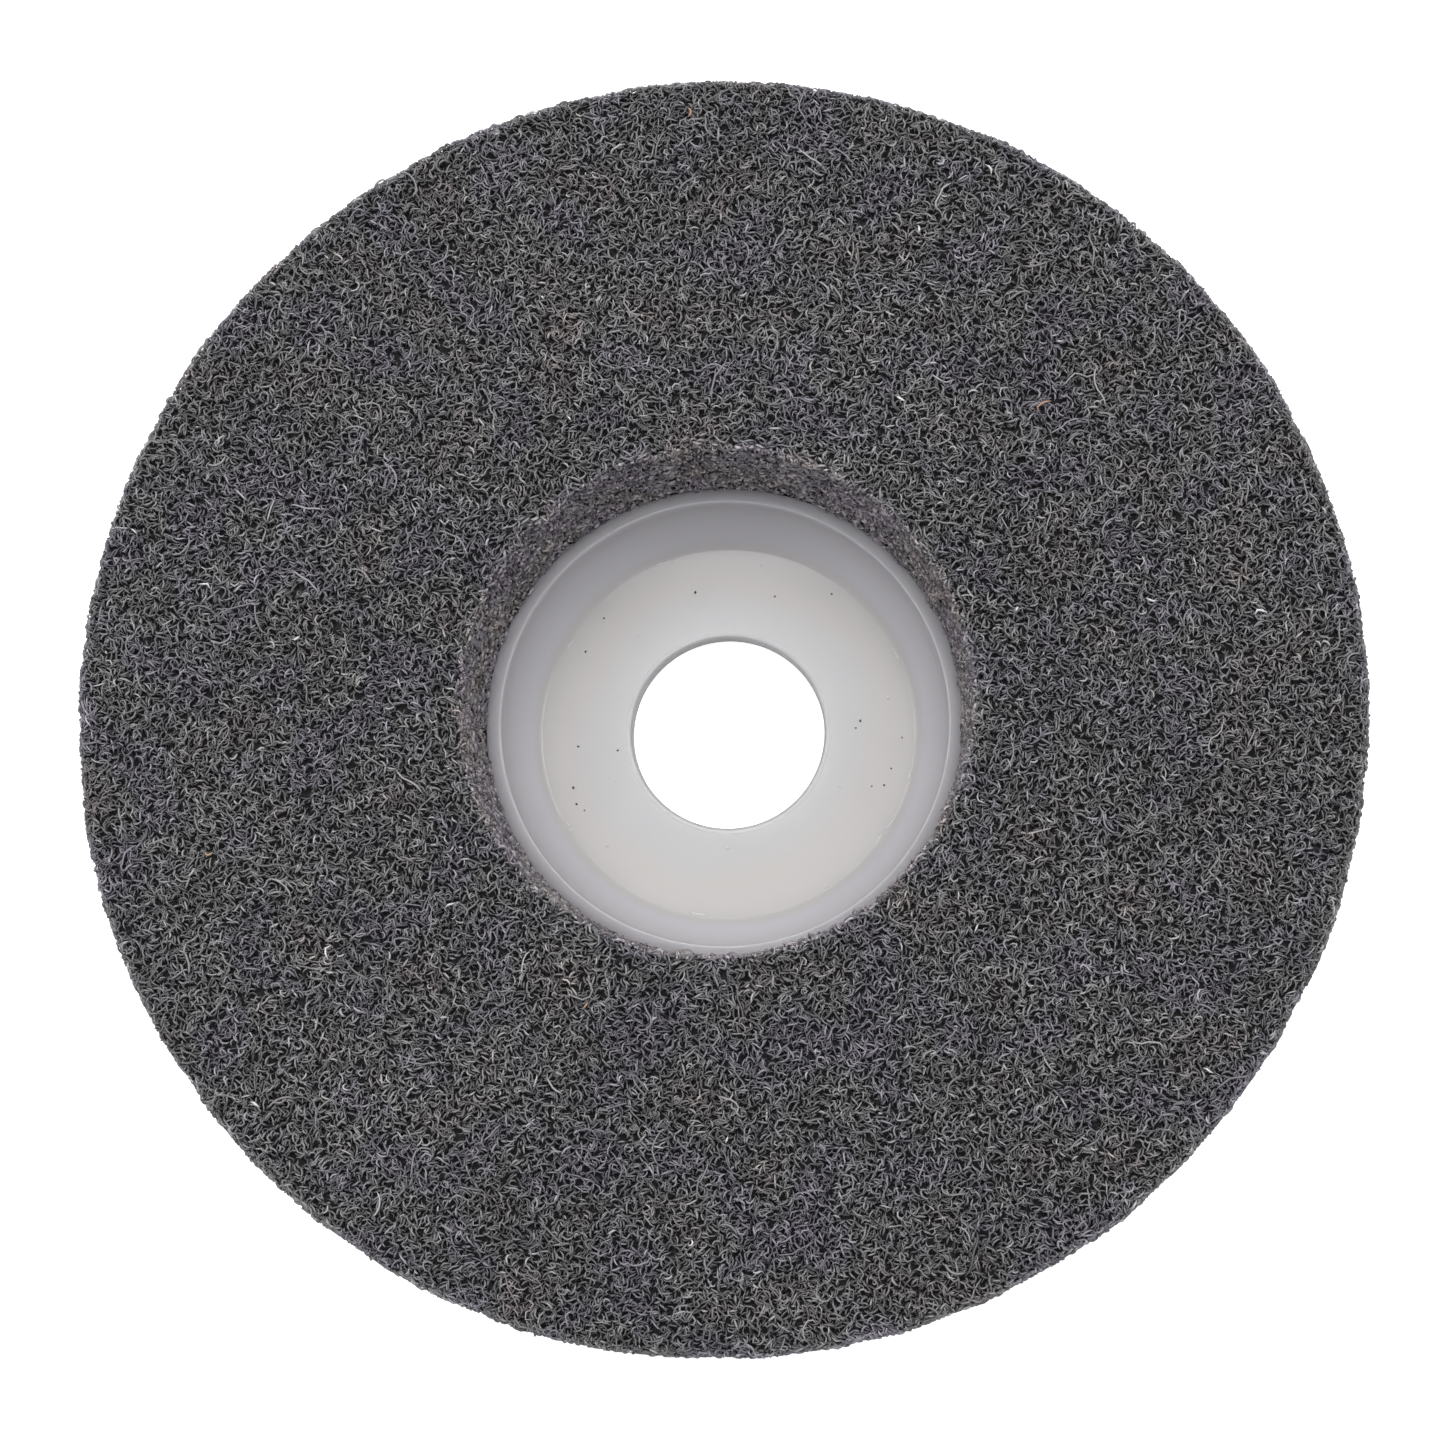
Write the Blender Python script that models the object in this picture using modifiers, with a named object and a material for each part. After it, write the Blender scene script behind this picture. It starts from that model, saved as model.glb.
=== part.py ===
"""Non-woven nylon polishing wheel on a plastic cup hub, for a small angle grinder.

The wheel lies on its back. The spin axis is +Z, the hub's rear face is at z = 0 and the
working face of the fibre pad looks up. The origin is the centre of the hub's rear face.
All sizes are in metres.
"""

import math

import bpy

MM = 0.001

# Wheel.
WHEEL_DIAMETER = 100.0 * MM
WHEEL_THICKNESS = 20.0 * MM
PAD_HOLE_DIAMETER = 39.8 * MM
PLY_COUNT = 6
FACE_EDGE_RADIUS = 0.6 * MM

# Cup hub.
BORE_DIAMETER = 16.0 * MM
FLANGE_DIAMETER = 60.0 * MM
FLANGE_THICKNESS = 2.0 * MM
COLLAR_DIAMETER = 38.9 * MM
COLLAR_HEIGHT = 8.1 * MM
RIM_INNER_DIAMETER = 36.9 * MM
FLOOR_DIAMETER = 32.5 * MM
FLOOR_FILLET_RADIUS = 1.2 * MM
RIM_EDGE_RADIUS = 0.3 * MM
BORE_EDGE_RADIUS = 0.35 * MM
FLANGE_EDGE_RADIUS = 0.5 * MM
REAR_CHAMFER = 0.3 * MM
COLLAR_ROOT_RADIUS = 0.5 * MM

# Adhesive between the flange and the pad.
BOND_THICKNESS = 0.4 * MM
BOND_INNER_DIAMETER = 41.2 * MM
BOND_OUTER_DIAMETER = 58.0 * MM

# Gap that two touching pieces keep.
CONTACT_GAP = 0.3 * MM

# Resolution.
TURN_STEPS = 72
ARC_STEPS = 3
MERGE_DISTANCE = 0.00001

COLLECTION_NAME = "nylon_polishing_wheel"

# Colour, roughness and metallic value of each material.
MATERIALS = {
    "fibre_web": ((0.085, 0.083, 0.088, 1.0), 0.85, 0.0),
    "hub_nylon": ((0.72, 0.71, 0.69, 1.0), 0.38, 0.0),
    "bond_resin": ((0.45, 0.33, 0.16, 1.0), 0.30, 0.0),
}


def clear_scene():
    """Remove every object that the scene starts with."""
    for old in list(bpy.data.objects):
        bpy.data.objects.remove(old, do_unlink=True)


def make_collection():
    """Return the collection that holds the wheel's pieces."""
    collection = bpy.data.collections.new(COLLECTION_NAME)
    bpy.context.scene.collection.children.link(collection)
    return collection


def make_material(name):
    """Return a new Principled material with the values of the table above."""
    color, roughness, metallic = MATERIALS[name]
    material = bpy.data.materials.new(name)
    material.use_nodes = True
    shader = material.node_tree.nodes["Principled BSDF"]
    shader.inputs["Base Color"].default_value = color
    shader.inputs["Roughness"].default_value = roughness
    shader.inputs["Metallic"].default_value = metallic
    material.diffuse_color = color
    return material


def arc(center, radius, start_degrees, end_degrees):
    """Return the (x, z) points of an arc, both ends included."""
    points = []
    for step in range(ARC_STEPS + 1):
        share = step / ARC_STEPS
        angle = math.radians(start_degrees + (end_degrees - start_degrees) * share)
        points.append((center[0] + radius * math.cos(angle), center[1] + radius * math.sin(angle)))
    return points


def turned_piece(name, profile, material, collection):
    """Turn a closed (x, z) outline about the Z axis.

    The outline starts at its outer top, runs down its outer side and returns up its inner side.
    """
    mesh = bpy.data.meshes.new(name)
    points = [(x, 0.0, z) for x, z in profile]
    count = len(points)
    edges = [(index, (index + 1) % count) for index in range(count)]
    mesh.from_pydata(points, edges, [])
    piece = bpy.data.objects.new(name, mesh)
    collection.objects.link(piece)
    mesh.materials.append(material)
    screw = piece.modifiers.new("turn", "SCREW")
    screw.axis = "Z"
    screw.angle = math.tau
    screw.steps = TURN_STEPS
    screw.render_steps = TURN_STEPS
    screw.use_merge_vertices = True
    screw.merge_threshold = MERGE_DISTANCE
    screw.use_smooth_shade = True
    return piece


def flat_ring(inner_radius, outer_radius, bottom, top):
    """Return the outline of a flat ring with square edges."""
    return [
        (outer_radius, top),
        (outer_radius, bottom),
        (inner_radius, bottom),
        (inner_radius, top),
    ]


def worn_ring(inner_radius, outer_radius, bottom, top, edge_radius):
    """Return the outline of a flat ring whose two upper edges are rounded."""
    center_level = top - edge_radius
    outline = arc((outer_radius - edge_radius, center_level), edge_radius, 90, 0)
    outline += [(outer_radius, bottom), (inner_radius, bottom)]
    outline += arc((inner_radius + edge_radius, center_level), edge_radius, 180, 90)
    return outline


def wall_fillet(floor_level):
    """Return the arc that joins the floor to the cup's leaning inner wall, floor end first."""
    floor_radius = FLOOR_DIAMETER / 2
    lean = math.atan2(
        (RIM_INNER_DIAMETER - FLOOR_DIAMETER) / 2,
        COLLAR_HEIGHT - floor_level,
    )
    turn = 90 - math.degrees(lean)
    tangent = FLOOR_FILLET_RADIUS * math.tan(math.radians(turn) / 2)
    center = (floor_radius - tangent, floor_level + FLOOR_FILLET_RADIUS)
    return arc(center, FLOOR_FILLET_RADIUS, -90, -90 + turn), math.degrees(lean)


def hub_profile():
    """Return the outline of the hub: collar, flange, rear face, bore, floor and cup wall."""
    collar = COLLAR_DIAMETER / 2
    flange = FLANGE_DIAMETER / 2
    bore = BORE_DIAMETER / 2
    fillet, lean = wall_fillet(FLANGE_THICKNESS)
    rim_center_level = COLLAR_HEIGHT - RIM_EDGE_RADIUS

    outline = arc((collar - RIM_EDGE_RADIUS, rim_center_level), RIM_EDGE_RADIUS, 90, 0)
    root_center = (collar + COLLAR_ROOT_RADIUS, FLANGE_THICKNESS + COLLAR_ROOT_RADIUS)
    outline += arc(root_center, COLLAR_ROOT_RADIUS, 180, 270)
    flange_center = (flange - FLANGE_EDGE_RADIUS, FLANGE_THICKNESS - FLANGE_EDGE_RADIUS)
    outline += arc(flange_center, FLANGE_EDGE_RADIUS, 90, 0)
    rear_center = (flange - FLANGE_EDGE_RADIUS, FLANGE_EDGE_RADIUS)
    outline += arc(rear_center, FLANGE_EDGE_RADIUS, 0, -90)
    outline.append((bore + REAR_CHAMFER, 0.0))
    outline.append((bore, REAR_CHAMFER))
    bore_center = (bore + BORE_EDGE_RADIUS, FLANGE_THICKNESS - BORE_EDGE_RADIUS)
    outline += arc(bore_center, BORE_EDGE_RADIUS, 180, 90)
    outline += fillet
    inner_center = (RIM_INNER_DIAMETER / 2 + RIM_EDGE_RADIUS, rim_center_level)
    outline += arc(inner_center, RIM_EDGE_RADIUS, 180 - lean, 90)
    return outline


def make_hub(collection):
    """Make the one-piece plastic hub."""
    return turned_piece("cup_hub", hub_profile(), make_material("hub_nylon"), collection)


def make_bond(collection):
    """Make the film of adhesive that holds the pad to the flange."""
    bottom = FLANGE_THICKNESS + CONTACT_GAP
    profile = flat_ring(
        BOND_INNER_DIAMETER / 2,
        BOND_OUTER_DIAMETER / 2,
        bottom,
        bottom + BOND_THICKNESS,
    )
    return turned_piece("bond_film", profile, make_material("bond_resin"), collection)


def make_plies(collection):
    """Stack the fibre plies from the adhesive up to the working face."""
    material = make_material("fibre_web")
    pad_bottom = FLANGE_THICKNESS + BOND_THICKNESS + 2 * CONTACT_GAP
    pad_height = WHEEL_THICKNESS - pad_bottom
    ply_thickness = (pad_height - (PLY_COUNT - 1) * CONTACT_GAP) / PLY_COUNT
    hole = PAD_HOLE_DIAMETER / 2
    edge = WHEEL_DIAMETER / 2
    for number in range(1, PLY_COUNT + 1):
        bottom = pad_bottom + (number - 1) * (ply_thickness + CONTACT_GAP)
        top = bottom + ply_thickness
        if number == PLY_COUNT:
            profile = worn_ring(hole, edge, bottom, top, FACE_EDGE_RADIUS)
        else:
            profile = flat_ring(hole, edge, bottom, top)
        turned_piece(f"web_ply_{number}", profile, material, collection)


def build():
    """Build the whole wheel."""
    clear_scene()
    collection = make_collection()
    make_hub(collection)
    make_bond(collection)
    make_plies(collection)


build()
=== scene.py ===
"""Looks of a non-woven nylon polishing wheel on a plastic cup hub.

The pad's surface is modelled fibre by fibre over a near-black core, which is painted shade
for the depth of the web, the hub is turned at full detail, and the wheel lies face up on a
pale table under soft light. Lengths in the constants are in millimetres, and each mesh is
made in metres.
"""

import math

import bpy
import numpy as np
from mathutils import Matrix, Vector


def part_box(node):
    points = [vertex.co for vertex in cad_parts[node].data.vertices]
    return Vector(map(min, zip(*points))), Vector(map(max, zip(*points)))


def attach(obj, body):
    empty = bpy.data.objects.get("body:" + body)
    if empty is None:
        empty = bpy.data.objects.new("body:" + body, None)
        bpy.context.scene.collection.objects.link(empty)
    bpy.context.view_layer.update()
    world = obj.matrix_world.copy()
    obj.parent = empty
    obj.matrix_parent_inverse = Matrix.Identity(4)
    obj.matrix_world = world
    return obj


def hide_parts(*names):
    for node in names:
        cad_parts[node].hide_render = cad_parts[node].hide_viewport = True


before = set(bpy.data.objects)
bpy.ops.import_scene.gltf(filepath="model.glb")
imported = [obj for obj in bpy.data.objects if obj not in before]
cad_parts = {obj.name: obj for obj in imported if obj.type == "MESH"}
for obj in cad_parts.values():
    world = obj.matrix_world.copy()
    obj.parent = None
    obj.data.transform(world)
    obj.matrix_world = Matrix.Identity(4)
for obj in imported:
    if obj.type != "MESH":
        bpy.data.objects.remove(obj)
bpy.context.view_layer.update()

MM = 0.001
SEED = 20

# The plies, rear to front, and the sizes that the CAD boxes give.
PLIES = sorted(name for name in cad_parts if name.startswith("web_ply_"))
PLY_TOPS = [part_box(name)[1].z / MM for name in PLIES]
PLY_BOTTOMS = [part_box(name)[0].z / MM for name in PLIES]
PAD_BOTTOM = PLY_BOTTOMS[0]
PAD_TOP = PLY_TOPS[-1]
WHEEL_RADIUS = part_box(PLIES[-1])[1].x / MM
FLANGE_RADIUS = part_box("cup_hub")[1].x / MM
COLLAR_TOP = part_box("cup_hub")[1].z / MM
BOND_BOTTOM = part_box("bond_film")[0].z / MM
BOND_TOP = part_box("bond_film")[1].z / MM

# Sizes of the finished surfaces.
PAD_HOLE_RADIUS = 19.9
PAD_GRIP_RADIUS = 19.35  # at the hole's foot: too narrow, so fibres run into the collar
FACE_EDGE_RADIUS = 0.6
BACK_EDGE_RADIUS = 0.3
BORE_RADIUS = 8.0
FLANGE_THICKNESS = 2.0
COLLAR_RADIUS = 19.45
LIP_RADIUS = 18.22
LIP_FOOT = 6.8
LIP_FALL = 0.3
LIP_EDGE_RADIUS = 0.13
FLOOR_RADIUS = 15.5
CREASE_CUT_DEGREES = 4  # left off the bowl's foot, where a straight run meets the floor
BORE_EDGE_RADIUS = 0.30
BORE_BEAD_RADIUS = 0.10
BORE_BEAD_RISE = 0.05
RIM_EDGE_RADIUS = 0.18
FLANGE_EDGE_RADIUS = 0.5
REAR_CHAMFER = 0.3
COLLAR_ROOT_RADIUS = 0.5
BOND_INNER_RADIUS = 20.6
BOND_RADIUS = 29.0
BOND_EDGE_BULGE = 0.15
BOND_SQUEEZE = 0.12
BOND_SHORTFALL = 0.3

# The body of each ply, near black as painted shade for the depth of the web: how far it keeps
# inside the pad's surfaces, and how far it reaches into the gap of 0.3 mm to the ply below it and
# the one above it.
CORE_BELOW_FACE = 0.85
CORE_ABOVE_BACK = 0.45
CORE_INSIDE_HOLE = 0.15
CORE_INSIDE_RIM = 0.26
CORE_REACH_DOWN = 0.15
CORE_REACH_UP = 0.13
CORE_RIPPLE = 0.02

# Fibres.
TUBE_SIDES = 3
TUBE_END_TAPER = 0.45
MAX_TRIANGLES = 190_000  # in one piece
PROFILE_STEP = 0.05
BACK_COVER = 1.0  # how far the back's fibres reach in behind the flange's edge
END_MARGIN = 0.02  # from either end of the pad's outline
WANDER_TURNS = (3, 7, 13, 22, 34, 53)  # waves round the wheel, in its slightly uneven radius
WANDER = 0.035
WANDER_LEAN = 0.3  # how far the waves turn with height, in radians a millimetre
KINK_LENGTH = 0.8  # over which a fibre's curl changes
LENGTH_LIMITS = (0.35, 2.0)  # of a fibre's length, over the mean
WIDTH_LIMITS = (0.5, 1.8)  # of a fibre's width, over the mean
WAVE_LENGTHS = (1.3, 2.8)  # of a fibre's rise and fall
HOLE_FIBRE_START = 4.6  # up the hole's wall, 0.5 mm under the collar's top; cores alone below
STRETCH_OVERLAP = 0.1  # of the hole's and the rim's fibres with the face's
FRINGE_ON_WALL = 1.0  # how wide the fringe of loose fibres is on either side of an edge
FRINGE_ON_FACE = 0.8
PLY_BLUR = 0.15  # how far above its own top a ply still owns fibres
EVEN_STEPS = (0.7548776662, 0.5698402910)  # of a sequence that fills a square evenly

# Points along the hub's outline and round the turned pieces.
OUTLINE_SPACING = 1.0
HUB_STEPS = 288
BOND_STEPS = 240
CORE_STEPS = 360
CORE_SPACING = 1.2

# Loose specks on the cup's floor, and white burrs along its crease, which are painted highlights
# for the crease's glints.
DUST_COUNT = 17
CRUMB_COUNT = 8
GLINT_BURR_COUNT = 12
SPECK_RADII = (0.09, 0.18)
SPECK_STRETCH = 0.7
SPECK_FROM_BORE = 1.0
SPECK_FROM_CREASE = 0.6
SPECK_LIFT = 0.02
DUST_TONES = (0.0, 0.3)
GLINT_BURR_RADII = (0.04, 0.09)
GLINT_BURR_TURNS = (0.02, 0.10)
GLINT_BURR_POINTS = 7
GLINT_BURR_REACH = 0.25  # inward from the crease
GLINT_BURR_LIFT = 0.01

# The photograph's view. The camera stands off from the point it aims at, on the working
# face's plane, and leans from the spin axis toward -Y, turned a little toward +X.
CAMERA_DISTANCE = 228.2
CAMERA_LEAN_DEGREES = 9.38
CAMERA_TURN_DEGREES = 21.05
CAMERA_AIM = (0.60, -1.92)
CAMERA_LENS = 73.76

# The table: how far it bleaches out to the eye without lighting the wheel, its width, and
# how far it lies under the wheel.
TABLE_GLOW = 0.72
TABLE_WIDTH = 3000.0
TABLE_DROP = 0.02

# Soft lights: place in metres, width in metres, power in watts.
SOFTBOXES = {
    "far_softbox": ((0.00, 0.19, 0.42), 0.18, 0.54),
    "left_softbox": ((-0.20, 0.09, 0.42), 0.18, 0.50),
    "right_softbox": ((0.20, 0.09, 0.42), 0.18, 0.40),
    "near_softbox": ((0.03, -0.09, 0.45), 0.16, 0.26),
}
LIGHT_AIM = (0.0, 0.0, 0.01)
SKY_COLOR = (0.93, 0.95, 1.0, 1.0)
SKY_STRENGTH = 0.50


# ---------------------------------------------------------------- pad surface


class PadSurface:
    """The pad's outline in section, walked from the bottom of the hole over the face to the back.

    A place on it is a distance along the outline and an angle about the spin axis.
    """

    def __init__(self, rng):
        self.phases = rng.uniform(0, math.tau, len(WANDER_TURNS))
        self.points = self.outline()
        steps = np.linalg.norm(np.diff(self.points, axis=0), axis=1)
        self.along = np.concatenate([[0.0], np.cumsum(steps)])
        tangent = np.gradient(self.points, self.along, axis=0)
        tangent /= np.linalg.norm(tangent, axis=1, keepdims=True)
        self.normals = np.stack([-tangent[:, 1], tangent[:, 0]], axis=1)
        hole_height = PAD_TOP - PAD_BOTTOM - FACE_EDGE_RADIUS
        quarter = math.pi / 2 * FACE_EDGE_RADIUS
        face_width = WHEEL_RADIUS - PAD_HOLE_RADIUS - 2 * FACE_EDGE_RADIUS
        rim_height = hole_height - BACK_EDGE_RADIUS
        self.face_start = hole_height + quarter * 0.4
        self.face_end = hole_height + quarter * 1.6 + face_width
        self.rim_end = hole_height + 2 * quarter + face_width + rim_height
        self.end = self.along[-1]

    @staticmethod
    def outline():
        """Return the outline's points, close together, from the hole's foot to the flange."""
        stretches = [
            line_points((PAD_GRIP_RADIUS, PAD_BOTTOM), (PAD_GRIP_RADIUS, COLLAR_TOP)),
            line_points(
                (PAD_GRIP_RADIUS, COLLAR_TOP),
                (PAD_HOLE_RADIUS, PAD_TOP - FACE_EDGE_RADIUS),
            ),
            arc_points(
                (PAD_HOLE_RADIUS + FACE_EDGE_RADIUS, PAD_TOP - FACE_EDGE_RADIUS),
                FACE_EDGE_RADIUS, 180, 90,
            ),
            line_points(
                (PAD_HOLE_RADIUS + FACE_EDGE_RADIUS, PAD_TOP),
                (WHEEL_RADIUS - FACE_EDGE_RADIUS, PAD_TOP),
            ),
            arc_points(
                (WHEEL_RADIUS - FACE_EDGE_RADIUS, PAD_TOP - FACE_EDGE_RADIUS),
                FACE_EDGE_RADIUS, 90, 0,
            ),
            line_points(
                (WHEEL_RADIUS, PAD_TOP - FACE_EDGE_RADIUS),
                (WHEEL_RADIUS, PAD_BOTTOM + BACK_EDGE_RADIUS),
            ),
            arc_points(
                (WHEEL_RADIUS - BACK_EDGE_RADIUS, PAD_BOTTOM + BACK_EDGE_RADIUS),
                BACK_EDGE_RADIUS, 0, -90,
            ),
            line_points(
                (WHEEL_RADIUS - BACK_EDGE_RADIUS, PAD_BOTTOM),
                (FLANGE_RADIUS - BACK_COVER, PAD_BOTTOM),
            ),
        ]
        points = np.concatenate(stretches)
        keep = np.concatenate([[True], np.linalg.norm(np.diff(points, axis=0), axis=1) > 1e-6])
        return points[keep]

    def radius(self, along):
        """Return the distance from the spin axis at places along the outline."""
        return np.interp(along, self.along, self.points[:, 0])

    def place(self, along, angle, lift):
        """Return the 3-D points at those places, lifted off the surface, and their normals."""
        radius = np.interp(along, self.along, self.points[:, 0])
        level = np.interp(along, self.along, self.points[:, 1])
        out = np.interp(along, self.along, self.normals[:, 0])
        up = np.interp(along, self.along, self.normals[:, 1])
        cosine, sine = np.cos(angle), np.sin(angle)
        wander = WANDER * sum(
            np.sin(turns * angle + phase + WANDER_LEAN * level)
            for turns, phase in zip(WANDER_TURNS, self.phases)
        )
        reach = radius + out * lift + wander
        points = np.stack([reach * cosine, reach * sine, level + up * lift], axis=-1)
        normals = np.stack([out * cosine, out * sine, up], axis=-1)
        return points, normals


def line_points(start, end):
    """Return points along a straight stretch."""
    length = math.dist(start, end)
    count = max(2, int(length / PROFILE_STEP))
    share = np.linspace(0.0, 1.0, count)[:, None]
    return np.array(start) * (1 - share) + np.array(end) * share


def arc_points(center, radius, start_degrees, end_degrees, count=12):
    """Return points along an arc, both ends included."""
    angles = np.radians(np.linspace(start_degrees, end_degrees, count))
    return np.stack(
        [center[0] + radius * np.cos(angles), center[1] + radius * np.sin(angles)], axis=1
    )


# ---------------------------------------------------------------- fibres


def spread_starts(surface, rng, start, end, count):
    """Return places spread evenly over a stretch of the outline and all round the wheel."""
    grid = np.linspace(start, end, 400)
    rings = 0.5 * np.diff(grid) * (surface.radius(grid[1:]) + surface.radius(grid[:-1]))
    area = np.concatenate([[0.0], np.cumsum(rings)])
    number = np.arange(count)
    across = (rng.uniform() + number * EVEN_STEPS[0]) % 1.0
    around = (rng.uniform() + number * EVEN_STEPS[1]) % 1.0
    return np.interp(across * area[-1], area, grid), around * math.tau


def grow_fibres(surface, rng, start, end, coverage, length, width, curl, lift, arch, wave, tone,
                step, lay=None):
    """Grow curly fibres over one stretch of the pad's outline.

    coverage is the fibres' own area over the surface's. length, width, lift and tone are
    (mean, spread); curl is in radians a millimetre; arch is how far a fibre's middle stands
    above its ends, and wave is a further rise and fall along it. With a lay, the fibres run
    round the wheel to within about that angle.
    Returns the fibres' centre lines, surface normals, radii and tones.
    """
    mean_radius = surface.radius(np.linspace(start, end, 50)).mean()
    area = math.tau * mean_radius * (end - start)
    count = int(coverage * area / (length[0] * width[0]))
    segments = max(3, round(length[0] / step))
    shortest, longest = LENGTH_LIMITS[0] * length[0], LENGTH_LIMITS[1] * length[0]
    sizes = np.clip(rng.normal(length[0], length[1], count), shortest, longest)
    stride = sizes / segments

    first, last = END_MARGIN, surface.end - END_MARGIN
    along = np.empty((count, segments + 1))
    angle = np.empty((count, segments + 1))
    middle, around = spread_starts(surface, rng, start, end, count)
    course = rng.uniform(0, math.tau, count) if lay is None else rng.normal(math.pi / 2, lay, count)
    along[:, 0] = np.clip(middle - 0.5 * sizes * np.cos(course), first, last)
    angle[:, 0] = around - 0.5 * sizes * np.sin(course) / surface.radius(middle)
    bend = rng.normal(0, curl, count)
    drift = rng.normal(0, curl, count)
    course = course - 0.3 * bend * sizes
    for index in range(segments):
        keep = np.exp(-stride / KINK_LENGTH)
        drift = keep * drift + np.sqrt(1 - keep**2) * rng.normal(0, curl, count)
        course = course + (0.6 * bend + drift) * stride
        forward = along[:, index] + stride * np.cos(course)
        over = (forward < first) | (forward > last)
        course = np.where(over, math.pi - course, course)
        along[:, index + 1] = np.clip(forward, first, last)
        sweep = stride * np.sin(course) / surface.radius(along[:, index])
        angle[:, index + 1] = angle[:, index] + sweep

    share = np.linspace(0.0, 1.0, segments + 1)[None, :]
    period = rng.uniform(*WAVE_LENGTHS, count)[:, None]
    phase = rng.uniform(0, math.tau, count)[:, None]
    height = rng.normal(lift[0], lift[1], count)[:, None]
    height = height + arch * (1 - (2 * share - 1) ** 2)
    height = height + wave * np.sin(phase + math.tau * share * sizes[:, None] / period)
    lines, normals = surface.place(along, angle, height)
    thinnest, thickest = WIDTH_LIMITS[0] * width[0], WIDTH_LIMITS[1] * width[0]
    radii = 0.5 * np.clip(rng.normal(width[0], width[1], count), thinnest, thickest)
    tones = np.clip(rng.normal(tone[0], tone[1], count), 0.0, max(0.95, tone[0]))
    return lines, normals, radii, tones


def tube_mesh(name, lines, normals, radii, tones):
    """Return a mesh of closed tubes along the lines, with each fibre's tone on its points."""
    count, rings = lines.shape[:2]
    tangent = np.gradient(lines, axis=1)
    tangent /= np.linalg.norm(tangent, axis=2, keepdims=True)
    across = np.cross(tangent, normals)
    across /= np.linalg.norm(across, axis=2, keepdims=True)
    rise = np.cross(across, tangent)
    taper = np.ones(rings)
    taper[0] = taper[-1] = TUBE_END_TAPER
    swell = radii[:, None, None] * taper[None, :, None]
    around = math.pi / 2 + np.arange(TUBE_SIDES) * math.tau / TUBE_SIDES
    points = np.stack(
        [lines + swell * (math.cos(a) * across + math.sin(a) * rise) for a in around], axis=2
    )
    points = points.reshape(-1, 3) * MM

    ring = np.arange(rings - 1)[:, None] * TUBE_SIDES
    side = np.arange(TUBE_SIDES)[None, :]
    following = (side + 1) % TUBE_SIDES
    quads = np.stack(
        [ring + side, ring + TUBE_SIDES + side, ring + TUBE_SIDES + following, ring + following],
        axis=-1,
    ).reshape(-1, 4)
    corner = np.arange(TUBE_SIDES)
    caps = np.stack([corner, (rings - 1) * TUBE_SIDES + corner[::-1]])
    base = np.arange(count)[:, None, None] * rings * TUBE_SIDES
    all_quads = (quads[None] + base).reshape(-1, 4)
    all_caps = (caps[None] + base).reshape(-1, TUBE_SIDES)
    mesh = mesh_from_faces(name, points, all_quads, all_caps)
    tone = mesh.attributes.new("tone", "FLOAT", "POINT")
    tone.data.foreach_set("value", np.repeat(tones, rings * TUBE_SIDES).astype(np.float32))
    return mesh


def mesh_from_faces(name, points, quads, caps):
    """Make a smooth mesh from arrays of points, four-sided faces and end caps."""
    mesh = bpy.data.meshes.new(name)
    mesh.vertices.add(len(points))
    mesh.vertices.foreach_set("co", points.astype(np.float32).ravel())
    corners = np.concatenate([quads.ravel(), caps.ravel()]).astype(np.int32)
    mesh.loops.add(len(corners))
    mesh.loops.foreach_set("vertex_index", corners)
    quad_starts = np.arange(len(quads)) * 4
    cap_starts = len(quads) * 4 + np.arange(len(caps)) * caps.shape[1]
    mesh.polygons.add(len(quads) + len(caps))
    starts = np.concatenate([quad_starts, cap_starts]).astype(np.int32)
    mesh.polygons.foreach_set("loop_start", starts)
    mesh.update(calc_edges=True)
    mesh.shade_smooth()
    return mesh


def joined(batches):
    """Join the batches of fibres that have the same number of rings to a tube."""
    groups = {}
    for batch in batches:
        groups.setdefault(batch[0].shape[1], []).append(batch)
    return {
        rings: tuple(np.concatenate([batch[part] for batch in group]) for part in range(4))
        for rings, group in groups.items()
    }


def add_fibre_pieces(batches, material):
    """Share the fibres out to the plies they lie in, and make each ply's pieces."""
    numbers = {name: 0 for name in PLIES}
    bounds = np.array(PLY_TOPS[:-1]) + PLY_BLUR
    for rings, (lines, normals, radii, tones) in joined(batches).items():
        middle = lines[:, rings // 2]
        owner = np.searchsorted(bounds, middle[:, 2])
        turn = np.arctan2(middle[:, 1], middle[:, 0])
        each = (rings - 1) * TUBE_SIDES * 2 + 2 * (TUBE_SIDES - 2)
        for ply, name in enumerate(PLIES):
            chosen = np.flatnonzero(owner == ply)
            chosen = chosen[np.argsort(turn[chosen], kind="stable")]
            parts = max(1, math.ceil(len(chosen) * each / MAX_TRIANGLES))
            for part in np.array_split(chosen, parts):
                if len(part) == 0:
                    continue
                numbers[name] += 1
                piece_name = f"{name}_fibres_{numbers[name]:02d}"
                mesh = tube_mesh(
                    piece_name, lines[part], normals[part], radii[part], tones[part]
                )
                add_piece(piece_name, mesh, material, name)


# ---------------------------------------------------------------- turned pieces


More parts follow.
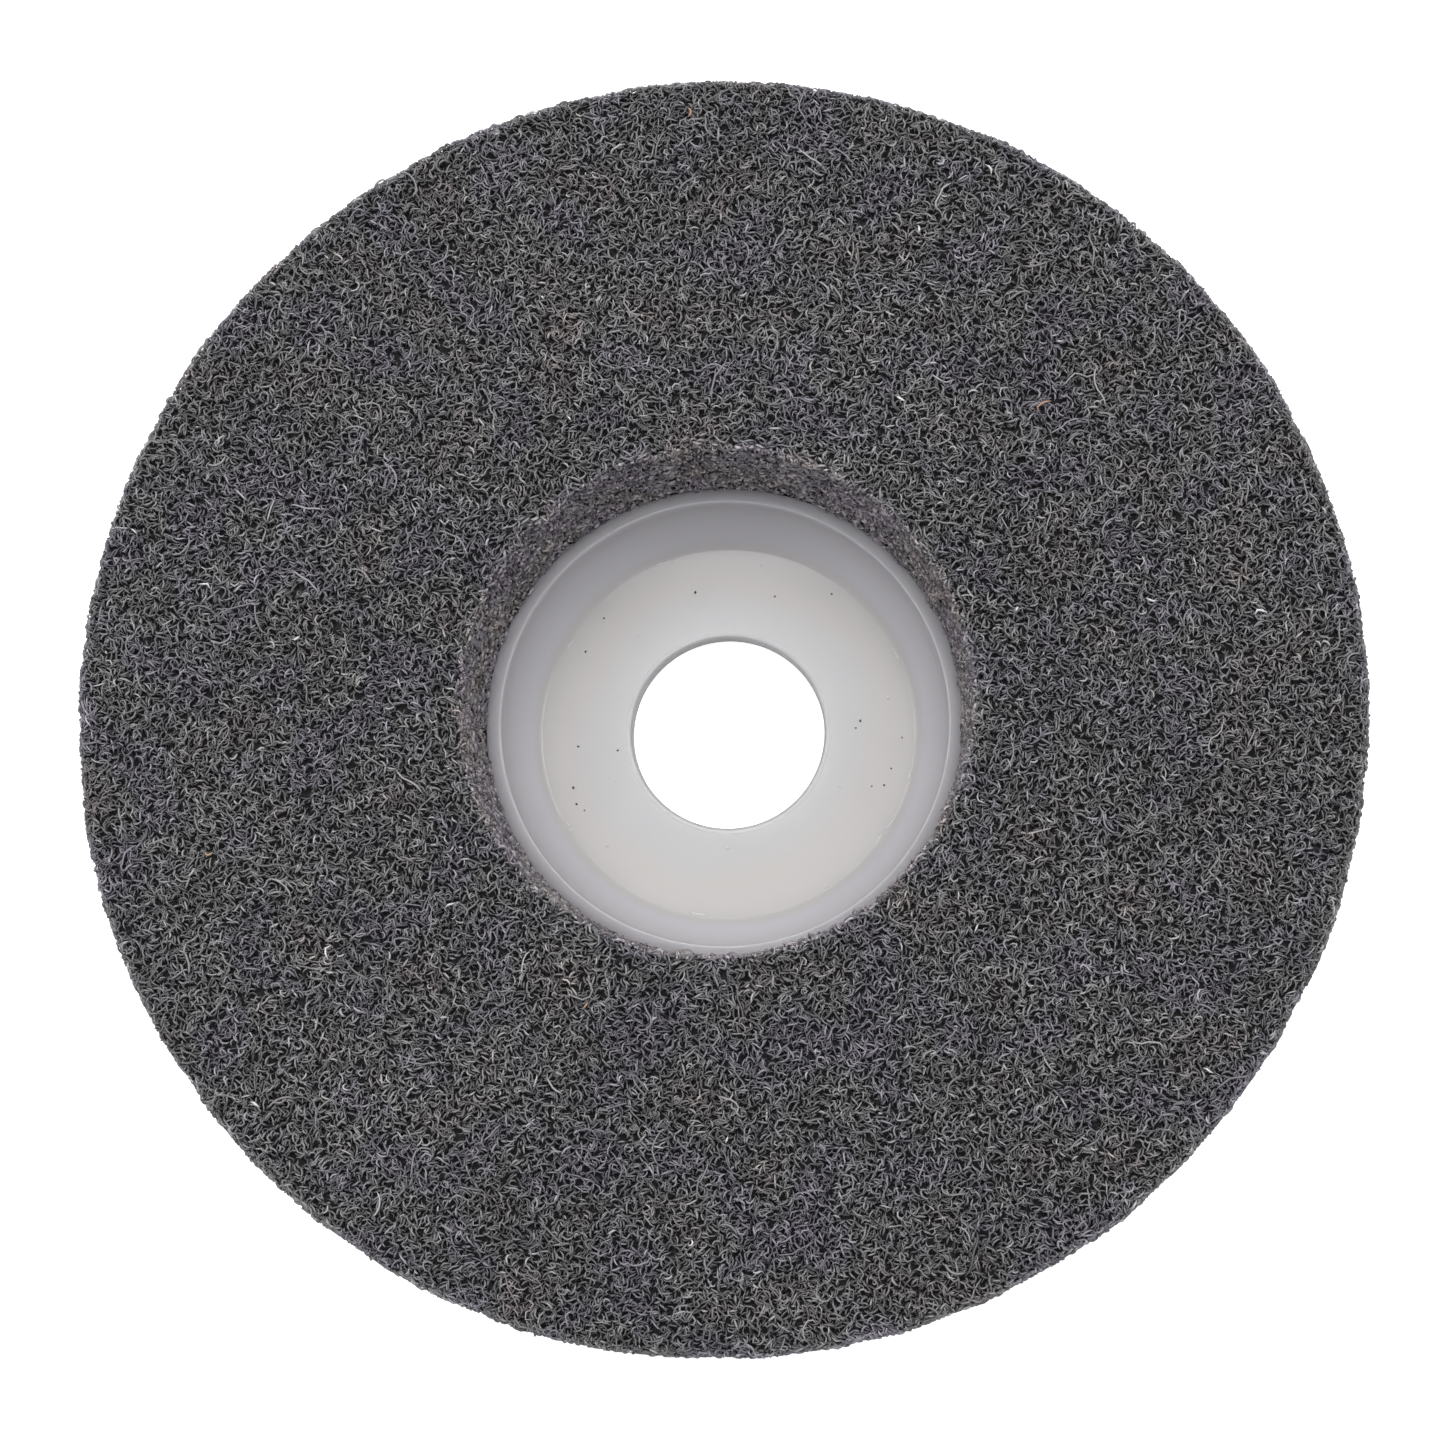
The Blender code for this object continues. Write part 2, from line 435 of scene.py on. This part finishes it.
def turned_mesh(name, outline, steps, ripple=None):
    """Turn a closed outline, outer top first and down its outer side, about the spin axis.

    ripple is a function of (radius, level, angle) that returns the moved radius and level.
    """
    outline = np.array(outline)
    count = len(outline)
    angle = np.arange(steps) * math.tau / steps
    radius = np.repeat(outline[None, :, 0], steps, axis=0)
    level = np.repeat(outline[None, :, 1], steps, axis=0)
    turn = np.repeat(angle[:, None], count, axis=1)
    if ripple is not None:
        radius, level = ripple(radius, level, turn)
    points = np.stack([radius * np.cos(turn), radius * np.sin(turn), level], axis=-1)
    row = np.arange(steps)[:, None] * count
    next_row = ((np.arange(steps) + 1) % steps)[:, None] * count
    here = np.arange(count)[None, :]
    below = (np.arange(count) + 1)[None, :] % count
    quads = np.stack([row + here, row + below, next_row + below, next_row + here], axis=-1)
    caps = np.empty((0, 3), int)
    return mesh_from_faces(name, points.reshape(-1, 3) * MM, quads.reshape(-1, 4), caps)


def hub_outline():
    """Return the hub's outline: rim, collar, flange, rear face, bore, floor and cup wall.

    The cup's wall leaves the floor at a crease and curves up until it is upright at the lip.
    """
    rise, reach = LIP_FOOT - FLANGE_THICKNESS, LIP_RADIUS - FLOOR_RADIUS
    sweep = 2 * math.degrees(math.atan2(reach, rise))
    bowl_radius = rise / math.sin(math.radians(sweep))
    outer_level = COLLAR_TOP - LIP_FALL - RIM_EDGE_RADIUS
    stretches = [
        arc_points((COLLAR_RADIUS - RIM_EDGE_RADIUS, outer_level), RIM_EDGE_RADIUS, 72, 0, 8),
        arc_points(
            (COLLAR_RADIUS + COLLAR_ROOT_RADIUS, FLANGE_THICKNESS + COLLAR_ROOT_RADIUS),
            COLLAR_ROOT_RADIUS, 180, 270, 8,
        ),
        arc_points(
            (FLANGE_RADIUS - FLANGE_EDGE_RADIUS, FLANGE_THICKNESS - FLANGE_EDGE_RADIUS),
            FLANGE_EDGE_RADIUS, 90, 0, 8,
        ),
        arc_points(
            (FLANGE_RADIUS - FLANGE_EDGE_RADIUS, FLANGE_EDGE_RADIUS),
            FLANGE_EDGE_RADIUS, 0, -90, 8,
        ),
        np.array([(BORE_RADIUS + REAR_CHAMFER, 0.0), (BORE_RADIUS, REAR_CHAMFER)]),
        arc_points(
            (BORE_RADIUS + BORE_EDGE_RADIUS, FLANGE_THICKNESS - BORE_EDGE_RADIUS),
            BORE_EDGE_RADIUS, 180, 90, 10,
        ),
        arc_points(
            (
                BORE_RADIUS + BORE_EDGE_RADIUS + BORE_BEAD_RADIUS,
                FLANGE_THICKNESS + BORE_BEAD_RISE - BORE_BEAD_RADIUS,
            ),
            BORE_BEAD_RADIUS, 150, 30, 7,
        ),
        np.array([(FLOOR_RADIUS, FLANGE_THICKNESS)]),
        arc_points(
            (LIP_RADIUS - bowl_radius, LIP_FOOT), bowl_radius,
            CREASE_CUT_DEGREES - sweep, 0, 18,
        ),
        arc_points(
            (LIP_RADIUS + LIP_EDGE_RADIUS, COLLAR_TOP - LIP_EDGE_RADIUS), LIP_EDGE_RADIUS,
            180, 72, 10,
        ),
    ]
    return np.concatenate(stretches)


def filled_outline(outline, spacing):
    """Add points to an outline's long straight runs, so that smooth shading stays local."""
    result = []
    closed = np.concatenate([outline, outline[:1]])
    for start, end in zip(closed[:-1], closed[1:]):
        length = math.dist(start, end)
        result.append(start)
        if length > spacing:
            count = max(3, int(length / spacing))
            share = np.linspace(0, 1, count + 1)[1:-1]
            near_end = 0.04 * spacing / length
            share = np.concatenate([[near_end], share, [1 - near_end]])
            result.extend(start * (1 - t) + end * t for t in share)
    return np.array(result)


def add_hub(material):
    """Make the hub at full detail."""
    outline = filled_outline(hub_outline(), OUTLINE_SPACING)
    mesh = turned_mesh("hub_moulding", outline, HUB_STEPS)
    add_piece("hub_moulding", mesh, material, "cup_hub")


def add_bond(material, rng):
    """Make the adhesive film, squeezed out unevenly at its edge."""
    waves = rng.uniform(0, math.tau, 9)

    def ripple(radius, level, turn):
        swell = sum(math.sin(p) * np.sin((5 + 4 * k) * turn + p) for k, p in enumerate(waves))
        outer = radius > 0.5 * (BOND_INNER_RADIUS + BOND_RADIUS)
        return radius + np.where(outer, BOND_SQUEEZE * swell - BOND_SHORTFALL, 0.0), level

    middle = (BOND_BOTTOM + BOND_TOP) / 2
    outline = [
        (BOND_RADIUS - BOND_EDGE_BULGE, BOND_TOP),
        (BOND_RADIUS, middle),
        (BOND_RADIUS - BOND_EDGE_BULGE, BOND_BOTTOM),
        (BOND_INNER_RADIUS, BOND_BOTTOM),
        (BOND_INNER_RADIUS, BOND_TOP),
    ]
    mesh = turned_mesh("bond_bead", outline, BOND_STEPS, ripple)
    add_piece("bond_bead", mesh, material, "bond_film")


def add_cores(material, rng):
    """Make the matted body of each ply, which shows between its fibres; its near-black colour is
    painted shade for the depth of the web.
    """
    inner, outer = PAD_HOLE_RADIUS + CORE_INSIDE_HOLE, WHEEL_RADIUS - CORE_INSIDE_RIM
    for index, name in enumerate(PLIES):
        is_rear, is_front = index == 0, index == len(PLIES) - 1
        bottom = PLY_BOTTOMS[index] + (CORE_ABOVE_BACK if is_rear else -CORE_REACH_DOWN)
        top = PLY_TOPS[index] + (-CORE_BELOW_FACE if is_front else CORE_REACH_UP)
        phases = rng.uniform(0, math.tau, (2, 6))[0]

        def ripple(radius, level, turn, phases=phases):
            swell = sum(
                np.sin((37 + 29 * k) * turn + phase + 2.1 * level)
                for k, phase in enumerate(phases)
            )
            return radius + CORE_RIPPLE * swell, level

        corners = [(outer, top), (outer, bottom), (inner, bottom), (inner, top)]
        outline = filled_outline(np.array(corners), CORE_SPACING)
        mesh = turned_mesh(f"{name}_core", outline, CORE_STEPS, ripple)
        add_piece(f"{name}_core", mesh, material, name)


# ---------------------------------------------------------------- materials


def new_material(name):
    """Return a new material, its node tree and its Principled shader."""
    material = bpy.data.materials.new(name)
    material.use_nodes = True
    return material, material.node_tree, material.node_tree.nodes["Principled BSDF"]


def ramp_node(tree, source, stops):
    """Return a colour ramp with these (position, colour) stops; a grey is one number."""
    ramp = tree.nodes.new("ShaderNodeValToRGB")
    elements = ramp.color_ramp.elements
    while len(elements) < len(stops):
        elements.new(0.5)
    for element, (position, color) in zip(elements, stops):
        element.position = position
        element.color = (*(color if len(color) == 3 else color * 3), 1.0)
    tree.links.new(source, ramp.inputs["Fac"])
    return ramp


def mix_colors(tree, blend, share, first, second):
    """Return the colour output of a Mix node of two colour sockets or values."""
    mix = tree.nodes.new("ShaderNodeMix")
    mix.data_type = "RGBA"
    mix.blend_type = blend
    if isinstance(share, float):
        mix.inputs["Factor"].default_value = share
    else:
        tree.links.new(share, mix.inputs["Factor"])
    for value, socket in ((first, mix.inputs["A"]), (second, mix.inputs["B"])):
        if hasattr(value, "is_output"):
            tree.links.new(value, socket)
        else:
            socket.default_value = (*value, 1.0)
    return mix.outputs["Result"]


def object_coordinates(tree):
    """Return the output that holds a point's place in the row frame."""
    return tree.nodes.new("ShaderNodeTexCoord").outputs["Object"]


def noise_output(tree, place, scale, detail=3.0, name="Fac"):
    """Return a noise texture's output at a scale in features a metre."""
    noise = tree.nodes.new("ShaderNodeTexNoise")
    noise.inputs["Scale"].default_value = scale
    noise.inputs["Detail"].default_value = detail
    tree.links.new(place, noise.inputs["Vector"])
    return noise.outputs[name]


def add_bump(tree, shader, height, strength, distance):
    """Drive the shader's normal with a bump."""
    bump = tree.nodes.new("ShaderNodeBump")
    bump.inputs["Strength"].default_value = strength
    bump.inputs["Distance"].default_value = distance
    tree.links.new(height, bump.inputs["Height"])
    tree.links.new(bump.outputs["Normal"], shader.inputs["Normal"])


def distance_from_axis(tree, place):
    """Return the distance from the spin axis, in metres."""
    flat = tree.nodes.new("ShaderNodeVectorMath")
    flat.operation = "MULTIPLY"
    flat.inputs[1].default_value = (1.0, 1.0, 0.0)
    tree.links.new(place, flat.inputs[0])
    reach = tree.nodes.new("ShaderNodeVectorMath")
    reach.operation = "LENGTH"
    tree.links.new(flat.outputs["Vector"], reach.inputs[0])
    return reach.outputs["Value"]


def ranged(tree, value, low, high):
    """Return a length in metres as 0 at low and 1 at high, both in millimetres."""
    span = tree.nodes.new("ShaderNodeMapRange")
    span.inputs["From Min"].default_value = low * MM
    span.inputs["From Max"].default_value = high * MM
    tree.links.new(value, span.inputs["Value"])
    return span.outputs["Result"]


def tinted(tree, place, color):
    """Return a colour with the web's faint patches of violet, olive and brown laid over it."""
    patches = noise_output(tree, place, 210.0, 2.0)
    tints = ramp_node(tree, patches, [
        (0.30, (0.99, 0.96, 1.05)),
        (0.46, (1.00, 1.00, 1.02)),
        (0.56, (0.99, 1.02, 0.96)),
        (0.70, (1.06, 0.99, 0.94)),
    ])
    clouds = noise_output(tree, place, 55.0, 3.0)
    shades = ramp_node(tree, clouds, [(0.25, (0.90,)), (0.75, (1.10,))])
    warm = mix_colors(tree, "MULTIPLY", 1.0, color, tints.outputs["Color"])
    return mix_colors(tree, "MULTIPLY", 1.0, warm, shades.outputs["Color"])


def fibre_material():
    """Resin-coated grey nylon fibre: each fibre has its own shade, with grit in the coating."""
    material, tree, shader = new_material("fibre_strands")
    place = object_coordinates(tree)
    tone = tree.nodes.new("ShaderNodeAttribute")
    tone.attribute_name = "tone"
    shade = ramp_node(tree, tone.outputs["Fac"], [
        (0.00, (0.042, 0.040, 0.042)),
        (0.45, (0.147, 0.141, 0.148)),
        (0.80, (0.342, 0.331, 0.344)),
        (0.95, (0.540, 0.525, 0.530)),
        (0.97, (0.480, 0.300, 0.190)),
        (1.00, (0.850, 0.850, 0.850)),
    ])
    reach = distance_from_axis(tree, place)
    outward = ranged(tree, reach, PAD_HOLE_RADIUS, PAD_HOLE_RADIUS + 0.5)
    stain = ramp_node(tree, outward, [(0.0, (1.045, 0.98, 1.0)), (1.0, (1.0, 1.0, 1.0))])
    web = tinted(tree, place, shade.outputs["Color"])
    stained = mix_colors(tree, "MULTIPLY", 1.0, web, stain.outputs["Color"])
    tree.links.new(stained, shader.inputs["Base Color"])
    grit = noise_output(tree, place, 9000.0, 2.0)
    rough = ramp_node(tree, grit, [(0.35, (0.48,)), (0.65, (0.72,))])
    tree.links.new(rough.outputs["Color"], shader.inputs["Roughness"])
    shader.inputs["Specular IOR Level"].default_value = 0.45
    add_bump(tree, shader, grit, 0.5, 0.00003)
    return material


def core_shade_material():
    """The mat under the fibres, near black as painted shade for the depth of the web, with the same
    web's pattern at a smaller contrast.
    """
    material, tree, shader = new_material("web_core_shade")
    place = object_coordinates(tree)
    wander = noise_output(tree, place, 900.0, 2.0, "Color")
    moved = tree.nodes.new("ShaderNodeVectorMath")
    moved.operation = "MULTIPLY_ADD"
    tree.links.new(wander, moved.inputs[0])
    moved.inputs[1].default_value = (0.0008, 0.0008, 0.0008)
    tree.links.new(place, moved.inputs[2])
    cells = tree.nodes.new("ShaderNodeTexVoronoi")
    cells.feature = "DISTANCE_TO_EDGE"
    cells.inputs["Scale"].default_value = 2600.0
    tree.links.new(moved.outputs["Vector"], cells.inputs["Vector"])
    # Near-black strands on the cores: painted shade for the depth of the web.
    strands = ramp_node(tree, cells.outputs["Distance"], [
        (0.02, (0.030, 0.029, 0.031)),
        (0.16, (0.010, 0.010, 0.011)),
        (0.40, (0.003, 0.003, 0.003)),
    ])
    tree.links.new(tinted(tree, place, strands.outputs["Color"]), shader.inputs["Base Color"])
    shader.inputs["Roughness"].default_value = 0.85
    height = ramp_node(tree, cells.outputs["Distance"], [(0.0, (1.0,)), (0.3, (0.0,))])
    add_bump(tree, shader, height.outputs["Color"], 0.8, 0.0001)
    return material


def hub_material():
    """Natural moulded nylon: off-white, a little translucent, faintly mottled and rubbed, with
    painted shade up the cup's wall towards the lip and round the bore's edge.
    """
    material, tree, shader = new_material("natural_nylon")
    place = object_coordinates(tree)
    mottle = noise_output(tree, place, 70.0, 2.0)
    spread = tree.nodes.new("ShaderNodeMath")
    spread.operation = "MULTIPLY_ADD"
    spread.inputs[1].default_value = 0.006
    tree.links.new(mottle, spread.inputs[0])
    reach = distance_from_axis(tree, place)
    tree.links.new(reach, spread.inputs[2])
    outward = ranged(tree, spread.outputs["Value"], BORE_RADIUS + 3.0, FLOOR_RADIUS + 3.0)
    floor = ramp_node(tree, outward, [
        (0.30, (0.597, 0.595, 0.594)),
        (0.65, (0.608, 0.582, 0.562)),
        (0.95, (0.603, 0.579, 0.564)),
    ])
    parts = tree.nodes.new("ShaderNodeSeparateXYZ")
    tree.links.new(place, parts.inputs["Vector"])
    # The wall's lavender tint is its own colour; its darkening up towards the lip is painted shade.
    wall = ramp_node(tree, ranged(tree, parts.outputs["Z"], FLANGE_THICKNESS, COLLAR_TOP), [
        (0.15, (0.640, 0.625, 0.645)),
        (0.80, (0.500, 0.488, 0.511)),
        (0.95, (0.540, 0.527, 0.548)),
    ])
    climb = ranged(tree, parts.outputs["Z"], FLANGE_THICKNESS + 0.05, FLANGE_THICKNESS + 0.6)
    color = mix_colors(tree, "MIX", climb, floor.outputs["Color"], wall.outputs["Color"])
    # Painted shade: the bore's edge and wall darken to 0.55 of the colour at the bore.
    bore_edge_shade = ramp_node(tree, ranged(tree, reach, BORE_RADIUS, BORE_RADIUS + BORE_EDGE_RADIUS), [
        (0.00, (0.55,)),
        (0.85, (0.90,)),
        (1.00, (1.00,)),
    ])
    color = mix_colors(tree, "MULTIPLY", 1.0, color, bore_edge_shade.outputs["Color"])
    tree.links.new(color, shader.inputs["Base Color"])
    rubbed = noise_output(tree, place, 700.0, 4.0)
    rough = ramp_node(tree, rubbed, [(0.3, (0.42,)), (0.7, (0.50,))])
    tree.links.new(rough.outputs["Color"], shader.inputs["Roughness"])
    shader.inputs["Subsurface Weight"].default_value = 0.8
    shader.inputs["Subsurface Radius"].default_value = (1.0, 0.95, 0.9)
    shader.inputs["Subsurface Scale"].default_value = 0.0035
    shader.inputs["IOR"].default_value = 1.53
    shader.inputs["Coat Weight"].default_value = 0.6
    shader.inputs["Coat Roughness"].default_value = 0.08
    add_bump(tree, shader, rubbed, 0.08, 0.00005)
    return material


def speck_and_glint_material():
    """Dust and nylon crumbs, each speck with its own shade; the white end also colours the crease's
    burrs as painted glints.
    """
    material, tree, shader = new_material("loose_specks_and_glints")
    place = object_coordinates(tree)
    tone = tree.nodes.new("ShaderNodeAttribute")
    tone.attribute_name = "tone"
    shade = ramp_node(tree, tone.outputs["Fac"], [
        (0.0, (0.03, 0.028, 0.028)),
        (0.5, (0.20, 0.19, 0.18)),
        (0.9, (0.90, 0.90, 0.90)),
    ])
    tree.links.new(shade.outputs["Color"], shader.inputs["Base Color"])
    crumble = noise_output(tree, place, 12000.0, 2.0)
    rough = ramp_node(tree, crumble, [(0.3, (0.6,)), (0.7, (0.9,))])
    tree.links.new(rough.outputs["Color"], shader.inputs["Roughness"])
    add_bump(tree, shader, crumble, 0.5, 0.00003)
    return material


def bond_material():
    """Cured amber adhesive."""
    material, tree, shader = new_material("cured_adhesive")
    place = object_coordinates(tree)
    flow = noise_output(tree, place, 350.0, 3.0)
    color = ramp_node(tree, flow, [(0.35, (0.40, 0.27, 0.11)), (0.65, (0.52, 0.40, 0.21))])
    tree.links.new(color.outputs["Color"], shader.inputs["Base Color"])
    shader.inputs["Roughness"].default_value = 0.3
    add_bump(tree, shader, flow, 0.4, 0.0002)
    return material


def table_material():
    """A white table, bright enough to bleach out as the studio's does."""
    material, tree, shader = new_material("white_table")
    shader.inputs["Base Color"].default_value = (0.9, 0.9, 0.9, 1.0)
    shader.inputs["Roughness"].default_value = 0.9
    shader.inputs["Specular IOR Level"].default_value = 0.1
    shader.inputs["Emission Color"].default_value = (TABLE_GLOW, TABLE_GLOW, TABLE_GLOW, 1.0)
    seen = tree.nodes.new("ShaderNodeLightPath")
    tree.links.new(seen.outputs["Is Camera Ray"], shader.inputs["Emission Strength"])
    return material


# ---------------------------------------------------------------- placing


def add_piece(name, mesh, material, node):
    """Put a piece in the scene: it rides on the one body and stands for its CAD node."""
    piece = bpy.data.objects.new(name, mesh)
    bpy.context.scene.collection.objects.link(piece)
    mesh.materials.append(material)
    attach(piece, "root")
    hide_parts(node)
    return piece


def add_pad(rng):
    """Cover the pad with fibres, and fill it with its plies' cores.

    The face has two layers and some long strands, the hole has cut ends, the rim has fibres
    that lie round it, the back is covered beyond the flange, both edges are fringed, and bits
    of white and tan lint lie on the face.
    """
    surface = PadSurface(rng)
    face = dict(start=surface.face_start, end=surface.face_end)
    hole = dict(start=HOLE_FIBRE_START, end=surface.face_start + STRETCH_OVERLAP)
    rim = dict(start=surface.face_end - STRETCH_OVERLAP, end=surface.rim_end)
    back = dict(start=surface.rim_end + 0.3, end=surface.end - 0.1)
    hole_edge = dict(
        start=surface.face_start - FRINGE_ON_WALL, end=surface.face_start + FRINGE_ON_FACE
    )
    rim_edge = dict(
        start=surface.face_end - FRINGE_ON_FACE, end=surface.face_end + FRINGE_ON_WALL
    )
    batches = [
        grow_fibres(surface, rng, **face, coverage=1.10, length=(0.92, 0.26), width=(0.20, 0.03),
                    curl=2.1, lift=(-0.34, 0.06), arch=0.24, wave=0.02, tone=(0.53, 0.16),
                    step=0.23),
        # The lower layer's darker tone is painted shade for its depth under the top layer.
        grow_fibres(surface, rng, **face, coverage=1.05, length=(1.00, 0.28), width=(0.21, 0.03),
                    curl=2.0, lift=(-0.58, 0.06), arch=0.22, wave=0.03, tone=(0.40, 0.13),
                    step=0.25),
        grow_fibres(surface, rng, **face, coverage=0.045, length=(2.4, 0.8), width=(0.20, 0.03),
                    curl=0.9, lift=(-0.26, 0.06), arch=0.20, wave=0.03, tone=(0.58, 0.14),
                    step=0.35),
        grow_fibres(surface, rng, **hole, coverage=1.05, length=(0.52, 0.16), width=(0.24, 0.04),
                    curl=1.5, lift=(-0.18, 0.07), arch=0.08, wave=0.02, tone=(0.68, 0.22),
                    step=0.17),
        grow_fibres(surface, rng, **rim, coverage=1.20, length=(0.85, 0.25), width=(0.22, 0.03),
                    curl=1.4, lift=(-0.21, 0.05), arch=0.10, wave=0.02, tone=(0.60, 0.17),
                    step=0.27, lay=0.8),
        grow_fibres(surface, rng, **back, coverage=1.00, length=(1.6, 0.4), width=(0.25, 0.03),
                    curl=1.6, lift=(-0.30, 0.05), arch=0.20, wave=0.03, tone=(0.54, 0.16),
                    step=0.38),
        grow_fibres(surface, rng, **hole_edge, coverage=0.30, length=(1.1, 0.3),
                    width=(0.20, 0.03), curl=1.8, lift=(-0.20, 0.08), arch=0.36, wave=0.03,
                    tone=(0.70, 0.12), step=0.27),
        grow_fibres(surface, rng, **rim_edge, coverage=0.30, length=(0.9, 0.3),
                    width=(0.20, 0.03), curl=1.8, lift=(-0.22, 0.05), arch=0.14, wave=0.02,
                    tone=(0.56, 0.14), step=0.27),
        grow_fibres(surface, rng, **face, coverage=0.0005, length=(0.8, 0.3), width=(0.22, 0.04),
                    curl=2.0, lift=(-0.05, 0.05), arch=0.12, wave=0.03, tone=(1.0, 0.0),
                    step=0.25),
        grow_fibres(surface, rng, **face, coverage=0.00018, length=(1.1, 0.3), width=(0.24, 0.04),
                    curl=1.5, lift=(-0.02, 0.04), arch=0.12, wave=0.03, tone=(0.97, 0.0),
                    step=0.25),
    ]
    add_fibre_pieces(batches, fibre_material())
    add_cores(core_shade_material(), rng)


def upright(lines):
    """Return a normal that points up for each point."""
    normals = np.zeros_like(lines)
    normals[..., 2] = 1.0
    return normals


def add_specks(rng):
    """Scatter dark dust and pale crumbs over the cup's floor, and fine white burrs along its crease
    as painted highlights for its glints.
    """
    tones = np.concatenate([rng.uniform(*DUST_TONES, DUST_COUNT), np.full(CRUMB_COUNT, 1.0)])
    count = len(tones)
    nearest, farthest = BORE_RADIUS + SPECK_FROM_BORE, FLOOR_RADIUS - SPECK_FROM_CREASE
    reach = np.sqrt(rng.uniform(nearest**2, farthest**2, count))
    turn = rng.uniform(0, math.tau, count)
    heading = rng.uniform(0, math.tau, count)
    radii = rng.uniform(*SPECK_RADII, count)
    level = np.full(count, FLANGE_THICKNESS + SPECK_LIFT)
    middle = np.stack([reach * np.cos(turn), reach * np.sin(turn), level], axis=-1)
    forward = np.stack([np.cos(heading), np.sin(heading), 0 * heading], axis=-1)
    half = SPECK_STRETCH * radii[:, None] * forward
    lines = np.stack([middle - half, middle, middle + half], axis=1)
    material = speck_and_glint_material()
    mesh = tube_mesh("floor_specks", lines, upright(lines), radii, tones)
    add_piece("floor_specks", mesh, material, "cup_hub")

    # Painted highlight: the crease's burrs are white to stand in for its glints.
    turn = rng.uniform(0, math.tau, (GLINT_BURR_COUNT, 1))
    turn = turn + np.linspace(0, 1, GLINT_BURR_POINTS) * rng.uniform(*GLINT_BURR_TURNS, (GLINT_BURR_COUNT, 1))
    reach = FLOOR_RADIUS + rng.uniform(-GLINT_BURR_REACH, 0.0, (GLINT_BURR_COUNT, 1)) + 0 * turn
    level = np.full_like(turn, FLANGE_THICKNESS + GLINT_BURR_LIFT)
    lines = np.stack([reach * np.cos(turn), reach * np.sin(turn), level], axis=-1)
    radii = rng.uniform(*GLINT_BURR_RADII, GLINT_BURR_COUNT)
    mesh = tube_mesh("crease_glint_burrs", lines, upright(lines), radii, np.full(GLINT_BURR_COUNT, 1.0))
    add_piece("crease_glint_burrs", mesh, material, "cup_hub")


def add_table():
    """Lay the table a hair under the wheel."""
    bpy.ops.mesh.primitive_plane_add(size=TABLE_WIDTH * MM, location=(0, 0, -TABLE_DROP * MM))
    table = bpy.context.object
    table.name = "table"
    table.data.materials.append(table_material())


def add_light(name, place, size, power):
    """Hang a soft square light that points at the wheel."""
    lamp = bpy.data.lights.new(name, "AREA")
    lamp.shape = "SQUARE"
    lamp.size = size
    lamp.energy = power
    light = bpy.data.objects.new(name, lamp)
    bpy.context.scene.collection.objects.link(light)
    light.location = place
    aim = Vector(LIGHT_AIM) - Vector(place)
    light.rotation_euler = aim.to_track_quat("-Z", "Y").to_euler()


def add_studio():
    """Light the wheel softly from four sides and from a faint sky that looks white to the eye."""
    world = bpy.data.worlds.new("studio")
    bpy.context.scene.world = world
    world.use_nodes = True
    tree = world.node_tree
    sky = tree.nodes["Background"]
    sky.inputs["Color"].default_value = SKY_COLOR
    sky.inputs["Strength"].default_value = SKY_STRENGTH
    backdrop = tree.nodes.new("ShaderNodeBackground")
    backdrop.inputs["Color"].default_value = (1.0, 1.0, 1.0, 1.0)
    seen = tree.nodes.new("ShaderNodeLightPath")
    choice = tree.nodes.new("ShaderNodeMixShader")
    tree.links.new(seen.outputs["Is Camera Ray"], choice.inputs["Fac"])
    tree.links.new(sky.outputs["Background"], choice.inputs[1])
    tree.links.new(backdrop.outputs["Background"], choice.inputs[2])
    tree.links.new(choice.outputs["Shader"], tree.nodes["World Output"].inputs["Surface"])
    for name, (place, size, power) in SOFTBOXES.items():
        add_light(name, place, size, power)


def add_camera():
    """Stand the camera where the photograph was taken from, with +Y up in the picture."""
    lean, turn = math.radians(CAMERA_LEAN_DEGREES), math.radians(CAMERA_TURN_DEGREES)
    aside = math.sin(lean)
    back = Vector((aside * math.sin(turn), -aside * math.cos(turn), math.cos(lean)))
    aim = Vector((*CAMERA_AIM, PAD_TOP)) * MM
    right = (-back).cross(Vector((0, 1, 0))).normalized()
    up = back.cross(right)
    camera_data = bpy.data.cameras.new("camera")
    camera_data.lens = CAMERA_LENS
    camera_data.clip_start = 0.01
    camera = bpy.data.objects.new("camera", camera_data)
    bpy.context.scene.collection.objects.link(camera)
    rotation = Matrix((right, up, back)).transposed().to_4x4()
    camera.matrix_world = Matrix.Translation(aim + back * CAMERA_DISTANCE * MM) @ rotation
    bpy.context.scene.camera = camera


rng = np.random.default_rng(SEED)
add_camera()
add_studio()
add_table()
add_pad(rng)
add_hub(hub_material())
add_bond(bond_material(), rng)
add_specks(rng)
bpy.context.scene.view_settings.view_transform = "Standard"
